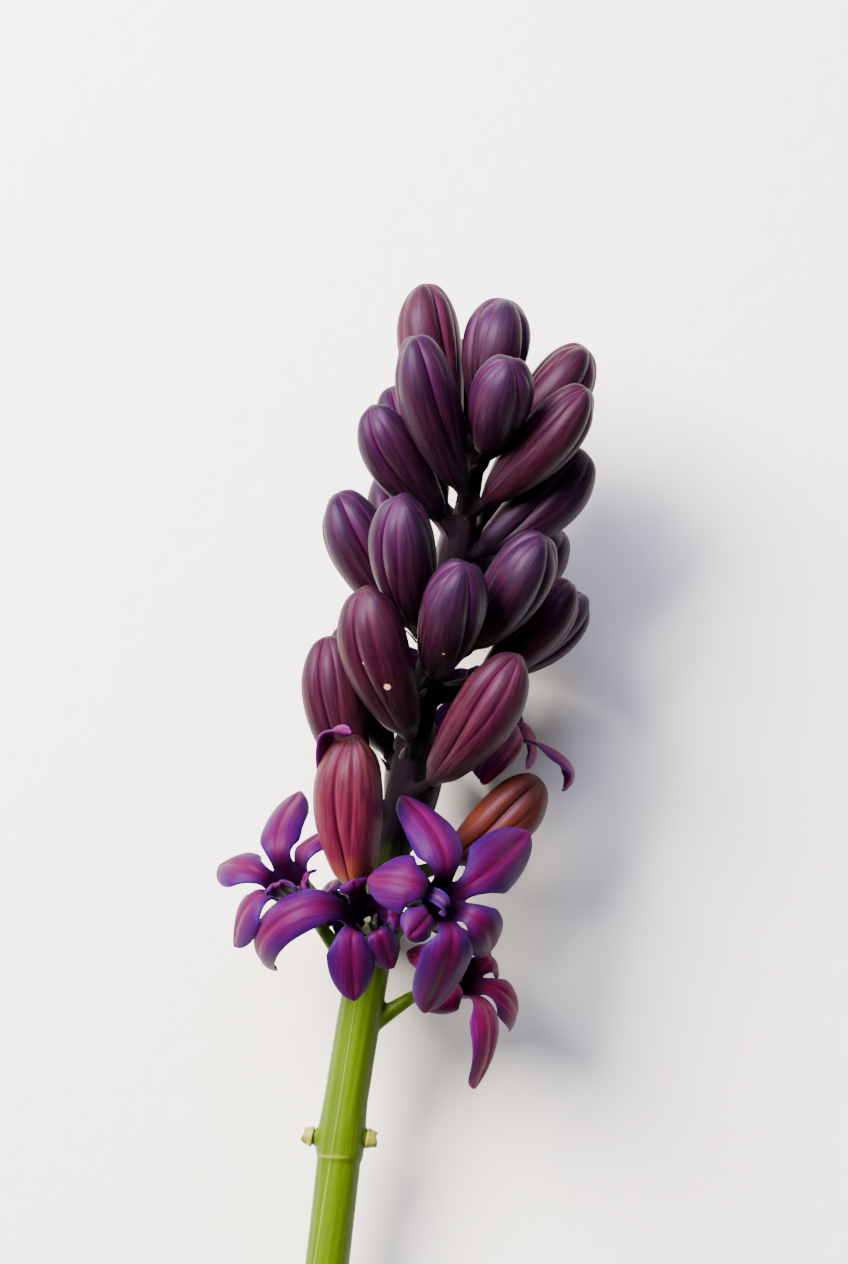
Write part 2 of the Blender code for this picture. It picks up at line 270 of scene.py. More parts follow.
# pale healed nicks: bud, share of its length, degrees round it from the side that faces up, radius in mm
budNicks = (
    ("bud_06", 0.42, -6.0, 0.55),
    ("bud_06", 0.6, -38.0, 0.24),
    ("bud_09", 0.4, 5.0, 0.26),
    ("bud_11", 0.3, -20.0, 0.24),
)
nickColour = "#C79A86"


def waxyBudSkin(name, colours, nickPoints=()):
    # waxy bloom over dark sap: a soft, slightly bluish gloss, paler streaks that are partly painted sheen,
    # and painted shade along the seams
    look, tree, shader = newMaterial(
        name, 0.42, 1.44, Specular_IOR_Level=0.2, Specular_Tint=linear("#CFB0F4"), Coat_Weight=0.03,
        Coat_Roughness=0.36, Subsurface_Weight=0.04, Subsurface_Scale=0.0008,
        Subsurface_Radius=(1.0, 0.25, 0.5),
    )
    place = attribute(tree, "budPlace")  # mm across and along
    form = split(tree, attribute(tree, "budForm"))  # share along, seam, how light
    wander = maths(tree, "SUBTRACT", noise(tree, place, 0.22, 3.0), 0.5)
    height = maths(tree, "MULTIPLY_ADD", wander, 0.35, form["X"])
    stops = [(0.05, colours["foot"]), (colours["bellyAt"], colours["belly"]), (0.92, colours["crown"])]
    body = toned(tree, height, *stops)
    veins = noise(tree, stretched(tree, place, (1.7, 1.7, 0.17)), 1.0, 4.0, 0.6)
    # pale dusty streaks along the tepals: real streaks, whose colour also stands in for the waxy sheen, a
    # painted sheen
    colour = mixed(tree, mapped(tree, veins, 0.4, 0.76, top=0.5), body, linear(colours["streakAndSheen"]))
    flush = mapped(tree, form["Y"], 0.0, 0.8, top=0.5)
    flush = maths(tree, "MULTIPLY", flush, mapped(tree, height, 0.35, 1.0))
    colour = mixed(tree, flush, colour, linear(colours["edge"]))
    # painted shade: a near-black line along the deeper side of each seam, where the valley lies in shade
    colour = mixed(tree, mapped(tree, form["Y"], 0.7, 1.0, top=0.95), colour, linear(colours["crease"]))
    shade = maths(tree, "MULTIPLY_ADD", form["Z"], 0.75, 0.4)
    colour = addNode(tree, "ShaderNodeHueSaturation", {"Color": colour, "Value": shade}).outputs["Color"]
    for point, radius in nickPoints:
        away = addNode(
            tree, "ShaderNodeVectorMath", {0: objectPlace(tree), 1: tuple(point)}, operation="DISTANCE")
        ragged = maths(tree, "MULTIPLY_ADD", veins, 0.3 * radius, away.outputs["Value"])
        nick = mapped(tree, ragged, radius * 1.15, radius * 0.9, top=0.9)
        colour = mixed(tree, nick, colour, linear(nickColour))
    tree.links.new(colour, shader.inputs["Base Color"])
    grain = noise(tree, place, 5.0, 2.0)
    tree.links.new(mapped(tree, grain, 0.0, 1.0, 0.4, 0.6), shader.inputs["Roughness"])
    addRelief(tree, shader, maths(tree, "MULTIPLY_ADD", grain, 0.35, veins), 0.6, 0.12)
    return look


# open tepals: soft flesh with a darker groove along the middle and bluish margins, and painted shade in the
# throat
petalColours = {
    "violet": {
        "throatShade": "#06000A", "middle": "#3E002A", "body": "#320036", "margin": "#200042", "streak": "#480C4A",
        "back": "#260028", "backRib": "#34001C"},
    "purple": {
        "throatShade": "#08000E", "middle": "#320024", "body": "#28002C", "margin": "#1E0036", "streak": "#3C0C3A",
        "back": "#220020", "backRib": "#2E001A"},
    "magenta": {
        "throatShade": "#20031C", "middle": "#5C002C", "body": "#560036", "margin": "#3E024A", "streak": "#843654",
        "back": "#4A002C", "backRib": "#5A0426"},
    "pale": {
        "throatShade": "#180820", "middle": "#341838", "body": "#321244", "margin": "#28084C", "streak": "#54483A",
        "back": "#321044", "backRib": "#44362C"},
}


def softTepalSkin(name, colours, face):
    # living tepal: matte, slightly velvety, light comes through the thin margins
    look, tree, shader = newMaterial(
        name, 0.5, 1.42, Specular_IOR_Level=0.13, Specular_Tint=linear("#C0A4FF"), Coat_Weight=0.02,
        Coat_Roughness=0.38, Subsurface_Weight=0.1, Subsurface_Scale=0.001, Subsurface_Radius=(0.9, 0.3, 1.0),
    )
    form = split(tree, attribute(tree, "petalPlace"))  # share across, share along, own shift
    place = attribute(tree, "petalGrain")  # mm across, mm along, own shift
    across = maths(tree, "ABSOLUTE", form["X"])
    wander = maths(tree, "SUBTRACT", noise(tree, place, 0.35, 3.0), 0.5)
    moved = maths(tree, "MULTIPLY_ADD", wander, 0.6, across)
    if face == "front":
        stops = [(0.06, colours["middle"]), (0.5, colours["body"]), (1.0, colours["margin"])]
    else:
        stops = [(0.05, colours["backRib"]), (0.3, colours["back"]), (0.95, colours["margin"])]
    colour = toned(tree, moved, *stops)
    veins = noise(tree, stretched(tree, place, (2.4, 0.16, 1.0)), 1.0, 4.0, 0.55)
    colour = mixed(tree, mapped(tree, veins, 0.48, 0.76, top=0.45), colour, linear(colours["streak"]))
    # painted shade: the tube and the roots of the lobes go dark, as deep in the throat
    colour = mixed(tree, mapped(tree, form["Y"], 0.22, 0.02, top=0.8), colour, linear(colours["throatShade"]))
    tree.links.new(colour, shader.inputs["Base Color"])
    grain = noise(tree, place, 6.0, 2.0)
    tree.links.new(mapped(tree, grain, 0.0, 1.0, 0.4, 0.58), shader.inputs["Roughness"])
    addRelief(tree, shader, maths(tree, "MULTIPLY_ADD", grain, 0.3, veins), 0.6, 0.14)
    return look


stemColours = {
    "skin": "#415900", "pale": "#4F6A00", "deep": "#2A4000", "ring": "#6C761C", "line": "#848C38",
    "shadeTop": "#040105", "purple": "#0C030E", "cut": "#748048", "cutDots": "#3F5413",
}


def fleshyStemSkin():
    # turgid green scape: satin cuticle with fine pale ridges, purple in the head, where it is darkened almost
    # to black as painted shade between the buds
    look, tree, shader = newMaterial(
        "fleshyStemSkin", 0.38, 1.43, Specular_IOR_Level=0.12, Subsurface_Weight=0.15,
        Subsurface_Scale=0.0015, Subsurface_Radius=(0.7, 1.0, 0.2),
    )
    place = attribute(tree, "stemPlace")  # mm in the plant's frame
    at = split(tree, place)
    form = split(tree, attribute(tree, "stemForm"))  # off the axis, ring, cut face
    skin = linear(stemColours["skin"])
    ridges = noise(tree, stretched(tree, place, (1.2, 0.03, 1.2)), 1.0, 3.0)
    body = toned(
        tree, ridges, (0.26, stemColours["deep"]), (0.5, stemColours["skin"]), (0.76, stemColours["pale"]))
    colour = mixed(tree, noise(tree, place, 0.09, 3.0), body, skin)
    # one pale hairline runs up the front, leaning as the stem does
    leaning = maths(tree, "MULTIPLY_ADD", at["Y"], 0.02, at["X"])
    aside = maths(tree, "ABSOLUTE", maths(tree, "ADD", leaning, 0.67))
    line = maths(tree, "MULTIPLY", mapped(tree, aside, 0.13, 0.03, top=0.4), mapped(tree, at["Z"], 1.5, 2.5))
    colour = mixed(tree, line, colour, linear(stemColours["line"]))
    colour = mixed(tree, form["Y"], colour, linear(stemColours["ring"]))
    # painted shade over its own purple: in the head the rachis goes near black, as in the shade between the
    # buds
    upper = mapped(tree, maths(tree, "MULTIPLY_ADD", ridges, 9.0, at["Y"]), 54.0, 66.0)
    purple = mixed(tree, ridges, linear(stemColours["shadeTop"]), linear(stemColours["purple"]))
    colour = mixed(tree, upper, colour, purple)
    bundles = addNode(tree, "ShaderNodeTexVoronoi", {"Vector": place, "Scale": 1.5, "Randomness": 0.7})
    dots = toned(
        tree, bundles.outputs["Distance"], (0.12, stemColours["cutDots"]), (0.3, stemColours["cut"]))
    tree.links.new(mixed(tree, form["Z"], colour, dots), shader.inputs["Base Color"])
    grain = noise(tree, place, 4.0, 2.0)
    addRelief(tree, shader, maths(tree, "MULTIPLY_ADD", grain, 0.25, ridges), 0.6, 0.2)
    rough = mapped(tree, grain, 0.0, 1.0, 0.3, 0.48)
    tree.links.new(maths(tree, "MULTIPLY_ADD", upper, 0.5, rough), shader.inputs["Roughness"])
    return look


def smallPartSkin(name, dark, pale, scale, roughness=0.55):
    # small fleshy part: two tones in soft specks, matte
    look, tree, shader = newMaterial(
        name, roughness, 1.4, Sheen_Weight=0.1, Subsurface_Weight=0.15, Subsurface_Scale=0.0006)
    specks = noise(tree, objectPlace(tree), scale, 4.0)
    tree.links.new(toned(tree, specks, (0.35, dark), (0.65, pale)), shader.inputs["Base Color"])
    addRelief(tree, shader, specks, 0.5, 0.08)
    return look


def paintedFloor():
    # matt painted board, so faintly mottled that it reads as plain
    look, tree, shader = newMaterial("mattPaintedFloor", 0.75, 1.5)
    place = objectPlace(tree)
    mottle = toned(tree, noise(tree, place, 14.0, 3.0), (0.3, "#F2F1EE"), (0.7, "#F6F5F2"))
    tree.links.new(mottle, shader.inputs["Base Color"])
    addRelief(tree, shader, noise(tree, place, 260.0, 4.0), 0.25, 0.6)
    return look


stem = {
    "voxel": 0.32,  # mm
    "smoothing": 6,
    "ribs": 13,
    "ribHeight": 0.025,
    "lipWidth": 0.2,
    "lipHeight": 0.16,
}


def makeStem():
    made = bpy.data.objects.new("scape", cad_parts["flower_stem"].data.copy())
    bpy.context.scene.collection.objects.link(made)
    mergeAndTurnOut(made)
    remesh = made.modifiers.new("skin", "REMESH")
    remesh.mode = "VOXEL"
    remesh.voxel_size = stem["voxel"] * mm
    soften = made.modifiers.new("soften", "SMOOTH")
    soften.factor = 0.5
    soften.iterations = stem["smoothing"]
    applyAll(made)
    points = readPoints(made)
    local = (points - np.array(plantPlace)) @ np.array(lieTurn) / mm  # rows times the turn undo it
    ys = [row[0] for row in stemLine]
    drift = np.interp(local[:, 1], ys, [row[1] for row in stemLine])
    radius = np.interp(local[:, 1], ys, [row[2] for row in stemLine])
    out = local - np.stack([drift, local[:, 1], np.zeros(len(local))], axis=1)
    off = np.linalg.norm(out, axis=1)
    turn = np.arctan2(out[:, 0], out[:, 2])
    onScape = (1.0 - fade(0.35, 1.0, off - radius)) * fade(0.45, 0.8, off / radius)
    rib = np.cos(stem["ribs"] * turn + 0.6 * np.sin(local[:, 1] * 0.05) + 0.8 * np.sin(3 * turn))
    swell = 0.05 * np.sin(local[:, 1] * 0.21 + 2 * turn) + stem["ribHeight"] * rib
    # the raised lip of the ring scar
    seam = np.exp(-((local[:, 1] - plant["ringScar"] - 0.25 * np.sin(2 * turn)) / stem["lipWidth"]) ** 2)
    swell = swell + stem["lipHeight"] * seam
    local = local + out / np.maximum(off, 0.3)[:, None] * (swell * onScape)[:, None]
    writePoints(made, local @ np.array(lieTurn).T * mm + np.array(plantPlace))
    cutFace = 1.0 - fade(0.15, 0.4, local[:, 1] - plant["cutEnd"][1])
    cutFace = cutFace * (1.0 - fade(0.86, 0.97, off / radius))
    writeVectors(made, "stemPlace", local)
    writeVectors(made, "stemForm", np.stack([off, seam * onScape, cutFace], axis=1))
    made.data.materials.clear()
    made.data.materials.append(fleshyStemSkin())
    smoothSkin(made, 70.0)
    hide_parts("flower_stem")
    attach(made, "root")
    print("scape made,", len(made.data.polygons), "faces")
    return made


bud = {
    "length": 20.0,  # mm, the master; each copy is stretched to its own size
    "width": 9.0,
    "foot": 0.4,
    "shoulder": 0.62,
    "crownPower": 2.3,
    "crownRound": 0.56,
    "beak": 0.3,  # mm that the tepal tips stand up
    "fullness": 1.1,  # soft tepals stand a little proud of the solid that the flower rests on
    "packedFullness": 1.02,  # where two of them lie close
    "backFullness": 1.12,
    "bow": 0.045,
    "stripFoot": 5.0,  # degrees either side, where an inner tepal shows between two outer ones
    "stripCrown": 21.0,
    "lip": 0.02,  # step at an outer tepal's edge, share of the radius
    "keel": 0.06,
    "innerKeel": 0.1,
    "valley": 0.16,
    "tucked": 0.3,
    "rings": (-0.035, 0.0, 0.03, 0.08, 0.14, 0.2, 0.27, 0.34, 0.41, 0.48, 0.55, 0.62, 0.68, 0.74, 0.79,
              0.835, 0.875, 0.91, 0.94, 0.962, 0.98, 0.992),
}

# share of an outer tepal's half width; beyond 1 the column is on the inner tepal's strip
budColumns = (-0.975, -0.9, -0.72, -0.5, -0.25, 0.0, 0.25, 0.5, 0.72, 0.9, 0.975, 1.0)
stripColumns = (0.0, 0.14, 0.36, 0.64, 0.86, 1.0)


# share of the greatest half width: a narrow foot, a long swelling and a blunt crown
def budRadius(t):
    t = np.asarray(t, float)
    swell = np.minimum(np.maximum(t, 0) / bud["shoulder"], 1.0)
    rise = bud["foot"] + (1 - bud["foot"]) * np.sin(0.5 * math.pi * swell)
    beyond = np.clip((t - bud["shoulder"]) / (1 - bud["shoulder"]), 0.0, 1.0)
    crown = np.maximum(1 - beyond ** bud["crownPower"], 0.0) ** bud["crownRound"]
    foot = np.minimum(1.0, 0.62 + 0.38 * np.maximum(t, 0) / 0.08)
    return rise * crown * foot


# angles in degrees and radius shares of one ring, over the three outer tepals and the strips between
def budSection(t):
    strip = bud["stripFoot"] + (bud["stripCrown"] - bud["stripFoot"]) * float(fade(0.0, 0.8, t))
    half = 60.0 - strip
    lip = bud["lip"] * float(fade(0.0, 0.25, t))
    valley = bud["valley"] * float(fade(0.0, 0.3, t))
    angles, shares, edges = [], [], []
    for sector in range(3):
        centre = 120.0 * sector
        for column in budColumns[:-1]:
            angles.append(centre + half * column)
            dome = bud["keel"] * (math.cos(math.pi * column / 2) - 0.5)
            side = 1.0 if column > 0 else bud["tucked"]  # one edge lies over, the other is tucked under
            shares.append(1.0 + dome - valley * side * abs(column) ** 4)
            edges.append(side * max(0.0, (abs(column) - 0.72) / 0.28))
        for column in stripColumns:
            place = -1.0 + 2.0 * column
            angles.append(centre + 60.0 + strip * place * 0.96)
            dome = bud["innerKeel"] * (1 - abs(place) ** 3) * float(fade(0.1, 0.6, t))
            side = 1.0 + (bud["tucked"] - 1.0) * column
            shares.append(1.0 - bud["keel"] * 0.5 - valley * side - lip + dome)
            edges.append(side * max(0.0, (abs(place) - 0.2) / 0.8))
    return angles, shares, edges


def makeBudMaster():
    columns = 3 * (len(budColumns) - 1 + len(stripColumns))
    deselectAll()
    bpy.ops.mesh.primitive_circle_add(vertices=columns, radius=0.5 * bud["width"] * mm, fill_type="NOTHING")
    made = bpy.context.object
    made.name = "budMaster"
    bpy.ops.object.mode_set(mode="EDIT")
    bpy.ops.mesh.select_all(action="SELECT")
    bpy.ops.transform.translate(value=(0, 0, bud["rings"][0] * bud["length"] * mm))
    for low, high in zip(bud["rings"], bud["rings"][1:]):
        step = (0, 0, (high - low) * bud["length"] * mm)
        bpy.ops.mesh.extrude_region_move(TRANSFORM_OT_translate={"value": step})
    bpy.ops.mesh.edge_face_add()  # crown
    bpy.ops.mesh.poke()
    bpy.ops.object.mode_set(mode="OBJECT")
    points = readPoints(made)
    edges = np.zeros(len(points))
    for ring, t in enumerate(bud["rings"]):
        members = np.where(np.abs(points[:, 2] - t * bud["length"] * mm) < 1e-6)[0]
        outer = members[np.hypot(points[members, 0], points[members, 1]) > 0.1 * mm]
        turn = np.arctan2(points[outer, 1], points[outer, 0])
        outer = outer[np.argsort(np.mod(turn + 1e-4, 2 * math.pi))]
        angles, shares, marks = budSection(t)
        radius = 0.5 * bud["width"] * float(budRadius(min(t, 0.992)))
        if t < 0:
            radius *= 0.82
        for index, angle, share, mark in zip(outer, angles, shares, marks):
            a = math.radians(angle)
            r = radius * share
            beak = bud["beak"] * float(fade(0.84, 0.94, t) - fade(0.95, 1.0, t)) * math.cos(3 * a)
            points[index] = (r * math.cos(a) * mm, r * math.sin(a) * mm, (t * bud["length"] + beak) * mm)
            edges[index] = mark
        inner = members[np.hypot(points[members, 0], points[members, 1]) <= 0.1 * mm]
        points[inner, 2] += 0.05 * mm
    writePoints(made, points)
    layer = made.data.attributes.new("seamMark", "FLOAT", "POINT")
    layer.data.foreach_set("value", edges)
    pick(made)
    bpy.ops.object.mode_set(mode="EDIT")
    bpy.ops.mesh.select_all(action="DESELECT")
    bpy.ops.mesh.select_non_manifold(extend=False)
    bpy.ops.mesh.edge_face_add()  # foot
    bpy.ops.mesh.poke()
    bpy.ops.mesh.select_all(action="SELECT")
    bpy.ops.mesh.normals_make_consistent(inside=False)
    bpy.ops.object.mode_set(mode="OBJECT")
    addSoft(made)
    applyAll(made)
    smoothSkin(made, 50.0)
    print("bud master made,", len(made.data.polygons), "faces")
    return made


# look, turn round its own axis in degrees, and how light it is from 0 to 1
budList = {
    "bud_01": ("rose", 20, 0.7), "bud_02": ("amber", 40, 0.6), "bud_03": ("wine", 70, 0.6),
    "bud_04": ("wine", 60, 0.9), "bud_05": ("wine", 20, 0.4), "bud_06": ("wine", 35, 0.6),
    "bud_07": ("plum", 80, 0.4), "bud_08": ("wine", 10, 0.4), "bud_09": ("plum", 50, 0.7),
    "bud_10": ("plum", 30, 0.4), "bud_11": ("plum", 100, 0.6), "bud_12": ("plum", 0, 0.8),
    "bud_13": ("plum", 15, 0.2), "bud_14": ("plum", 45, 0.3), "bud_15": ("plum", 65, 0.5),
    "bud_16": ("wine", 25, 0.5), "bud_17": ("plum", 85, 0.6), "bud_18": ("plum", 5, 0.6),
    "bud_19": ("plum", 55, 0.8), "bud_20": ("wine", 95, 0.5), "bud_21": ("wine", 30, 0.8),
    "bud_22": ("plum", 75, 0.7), "bud_23": ("plum", 10, 0.5), "bud_24": ("wine", 40, 0.5),
    "bud_25": ("plum", 90, 0.5), "bud_26": ("plum", 20, 0.5), "bud_27": ("plum", 60, 0.5),
}


backBuds = ("bud_24", "bud_25")
packedBuds = (
    "bud_03", "bud_05", "bud_09", "bud_12", "bud_15", "bud_16",
    "bud_17", "bud_18", "bud_19", "bud_26", "bud_27",
)


def budFullness(name):
    if name in packedBuds:
        return bud["packedFullness"]
    return bud["backFullness"] if name in backBuds else bud["fullness"]


# a solid's points and the ends of its long axis, the one nearer to the stem first; band in mm
def measureEnds(node, band):
    points = nodePoints(node)
    middle = points.mean(axis=0)
    axis = np.linalg.svd(points - middle)[2][0]
    along = (points - middle) @ axis
    ends = [
        Vector(points[along < along.min() + band * mm].mean(axis=0)),
        Vector(points[along > along.max() - band * mm].mean(axis=0)),
    ]
    offStem = [(toPlant(end) - stemAxis(toPlant(end).y)).length for end in ends]
    foot, tip = ends if offStem[0] < offStem[1] else reversed(ends)
    return points, foot, tip


# foot, tip and greatest width of a closed flower, from its solid
def measureBud(name):
    points, foot, tip = measureEnds(name, 0.9)
    frameHere = frameAt(foot, tip - foot)
    local = (points - np.array(foot)) @ np.array(frameHere.to_3x3())
    length = (tip - foot).length
    bow = bowAt(local[:, 2] / length, length)
    width = 2 * np.hypot(local[:, 0] - bow, local[:, 1]).max()
    return foot, tip, width


# how far a bud's middle is bent aside
def bowAt(t, length):
    return -4 * bud["bow"] * length * t * (1 - t)


def makeBud(master, name, looks):
    look, turn, light = budList[name]
    foot, tip, width = measureBud(name)
    place = frameAt(foot, tip - foot)
    length = (tip - foot).length
    made = ownCopy(master, name.replace("bud_", "closedFlower"))
    points = readPoints(made)
    t = points[:, 2] / (bud["length"] * mm)
    angle = math.radians(turn) + 0.22 * (t - 0.5) * random.uniform(-1.0, 1.0)
    wide = random.uniform(0.97, 1.03)
    x = points[:, 0] * np.cos(angle) - points[:, 1] * np.sin(angle)
    y = points[:, 0] * np.sin(angle) + points[:, 1] * np.cos(angle)
    grow = budFullness(name) * width / (bud["width"] * mm)
    local = np.stack([
        x * grow * wide - 4 * bud["bow"] * length * np.clip(t, 0, 1) * (1 - np.clip(t, 0, 1)),
        y * grow / wide,
        t * length,
    ], axis=1)
    writePoints(made, local @ np.array(place.to_3x3()).T + np.array(foot))
    shift = random.uniform(0.0, 40.0)
    # across the skin in mm, kept to one radius so that the veins close in on the crown and the foot
    around = 0.5 * width / np.maximum(np.hypot(x, y), 0.02 * mm) / mm
    writeVectors(made, "budPlace", np.stack([x * around + shift, y * around, t * length / mm], axis=1))
    marks = np.empty(len(points))
    made.data.attributes["seamMark"].data.foreach_get("value", marks)
    writeVectors(made, "budForm", np.stack([t, marks, np.full(len(t), light)], axis=1))
    made.data.materials.clear()
    made.data.materials.append(looks[look])
    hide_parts(name)
    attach(made, "root")
    return made


# a point on a bud's skin
def nickPoint(name, share, fromUp):
    foot, tip, width = measureBud(name)
    length = (tip - foot).length
    place = frameAt(foot, tip - foot)
    up = place.to_3x3().transposed() @ Vector((0.0, 0.0, 1.0))
    turn = math.degrees(math.atan2(up.y, up.x)) + fromUp
    angles, shares, _ = budSection(share)
    skin = float(np.interp(turn - budList[name][1], angles, shares, period=360.0))
    radius = 0.5 * width * budFullness(name) * float(budRadius(share)) * skin
    a = math.radians(turn)
    bow = bowAt(share, length)
    return place @ Vector((radius * math.cos(a) + bow, radius * math.sin(a), share * length))


tube = {
    "length": 9.0,  # mm
    "profile": ((0.0, 1.1), (0.12, 2.1), (0.38, 2.75), (0.7, 2.45), (1.0, 3.3)),  # share of length, radius
    "wall": 0.55,
    "footSink": 0.6,
    "rib": 0.05,
    "rings": 9,
    "columns": 10,  # to each lobe
    "rows": 22,
}

lobe = {
    "startAngle": 25.0,
    "widest": 0.45,
    "dome": 1.2,  # mm that the margins bend back
    "groove": 0.5,
    "grooveWidth": 0.16,
    "wave": 0.3,
}

# lobes anticlockwise from the side facing the plant's tip: tip outwards, sideways and forwards of the
# mouth in mm, turn of the tip in degrees, width in mm
floretList = {
    "left_floret": ("violet", -20, (
        (15, 3, -6, 130, 4.6), (16, -4, -1, 120, 5.8), (12, -2, 0, 130, 6.8),
        (11, -2, -4, 150, 7.0), (4, 0, 4, 140, 4.6), (4, 0, 1, 120, 4.4))),
    "front_floret": ("violet", -20, (
        (7, 1, 1, 120, 4.6), (4, 0, 4, 70, 4.4), (13, 4, -10, 220, 6.2),
        (10, 4, -5, 150, 7.0), (7, 0, -4, 150, 5.2), (5, 0, 0, 120, 4.4))),
    "centre_floret": ("violet", 10, (
        (16, 2, -6, 150, 6.6), (10, 1, -4, 160, 8.2), (8, 1, 1, 100, 5.0),
        (14, -1, -8, 150, 7.4), (10, -2, -5, 180, 6.4), (17, 1, 0, 100, 8.2))),
    "low_right_floret": ("magenta", 0, (
        (9, 0, -4, 160, 6.4), (8, 0, -4, 160, 6.2), (8, 0, -3, 160, 6.0),
        (15, 2, -4, 150, 6.6), (12, 0, -3, 160, 6.2), (9, 0, -4, 160, 6.4))),
    # this flower's brighter magenta look is partly its own colour and partly painted light, for the light
    # that catches its arched lobes
    "right_floret": ("magenta", 0, (
        (5, 0, 3, 80, 5.2), (6, 0, 1, 110, 5.4), (10, 2, -6, 150, 6.2),
        (12, 1, 3, 175, 6.2), (10, -2, -1, 150, 6.4), (7, 0, 0, 130, 5.6))),
    "back_right_floret": ("purple", 0, (
        (7, 0, -2, 150, 6.0), (5, 0, 2, 90, 5.2), (8, 0, -3, 150, 6.2),
        (10, 0, -4, 160, 6.4), (10, 0, -4, 160, 6.6), (8, 0, -3, 160, 6.4))),
    "back_left_floret": ("purple", 0, (
        (7, 0, -2, 150, 6.0), (8, 0, -3, 160, 6.4), (10, 0, -4, 160, 6.6),
        (10, 0, -4, 160, 6.4), (8, 0, -3, 150, 6.2), (5, 0, 2, 90, 5.2))),
    "low_back_floret": ("violet", 0, (
        (7, 0, -2, 150, 6.0), (8, 0, -3, 160, 6.2), (7, 0, -4, 160, 6.0),
        (7, 0, -4, 160, 6.0), (7, 0, -4, 160, 6.0), (8, 0, -3, 160, 6.0))),
}


# foot and axis of an open flower, from the pistil that stands in it
def measureFloret(name):
    _, low, high = measureEnds(name + "_pistil", 0.2)
    direction = (high - low).normalized()
    return low - direction * (pistil["stations"][0][0] * mm), direction


# a flat grid as added, then bent: place(u, v) takes shares and gives a point in mm
def addGrid(name, across, along, place):
    deselectAll()
    bpy.ops.mesh.primitive_grid_add(x_subdivisions=across, y_subdivisions=along, size=2.0)
    made = bpy.context.object
    made.name = name
    flat = readPoints(made)
    points, marks, grains = [], [], []
    for u, v in zip(flat[:, 0], (flat[:, 1] + 1) / 2):
        point, mark, grain = place(float(u), float(v))
        points.append(Vector(point) * mm)
        marks.append(mark)
        grains.append(grain)
    writePoints(made, points)
    writeVectors(made, "petalPlace", marks)
    writeVectors(made, "petalGrain", grains)
    return made


# points along a lobe's middle, each with the lobe's sideways and backward directions
def lobeLine(around, tipOut, tipSide, tipRise, turn, rows):
    out = Vector((math.cos(around), math.sin(around), 0.0))
    side = Vector((-math.sin(around), math.cos(around), 0.0))
    ahead = Vector((0.0, 0.0, 1.0))
    startTurn, endTurn = math.radians(lobe["startAngle"]), math.radians(turn)
    mouth = tube["profile"][-1][1]
    start = out * (mouth * math.cos(math.pi / 6)) + ahead * tube["length"]
    end = ahead * (tube["length"] + tipRise) + out * tipOut + side * tipSide
    across = (out * tipOut + side * tipSide).normalized()
    handle = (end - start).length / (3 * math.cos((endTurn - startTurn) / 4) ** 2)
    leave = ahead * math.cos(startTurn) + out * math.sin(startTurn)
    arrive = ahead * math.cos(endTurn) + across * math.sin(endTurn)
    line = interpolate_bezier(start, start + leave * handle, end - arrive * handle, end, rows + 1)
    made = []
    lateral = side
    for j, point in enumerate(line):
        forward = (line[min(j + 1, rows)] - line[max(j - 1, 0)]).normalized()
        lateral = (lateral - forward * lateral.dot(forward)).normalized()
        made.append((point, lateral, lateral.cross(forward)))
    return made


def lobeHalfWidth(t, width, room):
    start = tube["profile"][-1][1] * 0.5
    widest = 0.5 * width
    if t < lobe["widest"]:
        s = t / lobe["widest"]
        return min(start + (widest - start) * s * (2 - s), max(room, start * 0.8))
    s = (t - lobe["widest"]) / (1 - lobe["widest"])
    return widest * max(0.05, (1 - s ** 2.2) ** 0.55 if s < 1 else 0.0)


def makeLobe(number, shape, shift):
    tipOut, tipSide, tipRise, turn, width = shape
    around = math.pi * number / 3
    rows = tube["rows"]
    line = lobeLine(around, tipOut, tipSide, tipRise, turn, rows)
    span = sum((b[0] - a[0]).length for a, b in zip(line, line[1:]))
    mouth = tube["profile"][-1][1]
    phase, lean = random.uniform(0, 6.28), random.uniform(-0.35, 0.35)

    def place(u, v):
        point, lateral, back = line[round(v * rows)]
        room = (0.7 + 0.5 * v) * math.tan(math.pi / 6) * point.xy.length
        half = lobeHalfWidth(v, width, room)
        share = half / (0.5 * width)
        spread = float(fade(0.04, 0.4, v))
        bend = lobe["dome"] * share * abs(u) ** 2.2 * spread * (1.0 + lean * u)
        bend -= 0.3 * (1 - spread) * (u * u - 0.5)
        crease = lobe["groove"] * math.exp(-(u / lobe["grooveWidth"]) ** 2) * spread
        crease *= 1 - float(fade(0.85, 1.0, v))
        crease += 0.12 * math.exp(-((abs(u) - 0.55) / 0.12) ** 2) * spread
        ripple = lobe["wave"] * abs(u) ** 3 * math.sin(9.0 * v + phase + 1.5 * u) * spread
        here = point + lateral * (u * half) + back * (bend + crease + ripple)
        turnHere = around + u * math.pi / 6
        ring = Vector((mouth * math.cos(turnHere), mouth * math.sin(turnHere), tube["length"]))
        ring = ring + point - line[0][0]
        near = max(0.0, 1.0 - v / 0.22) ** 2
        return here.lerp(ring, near), (u, v, shift), (u * half + shift, v * span, shift + 3.0 * number)

    return addGrid("lobe", tube["columns"], rows, place)


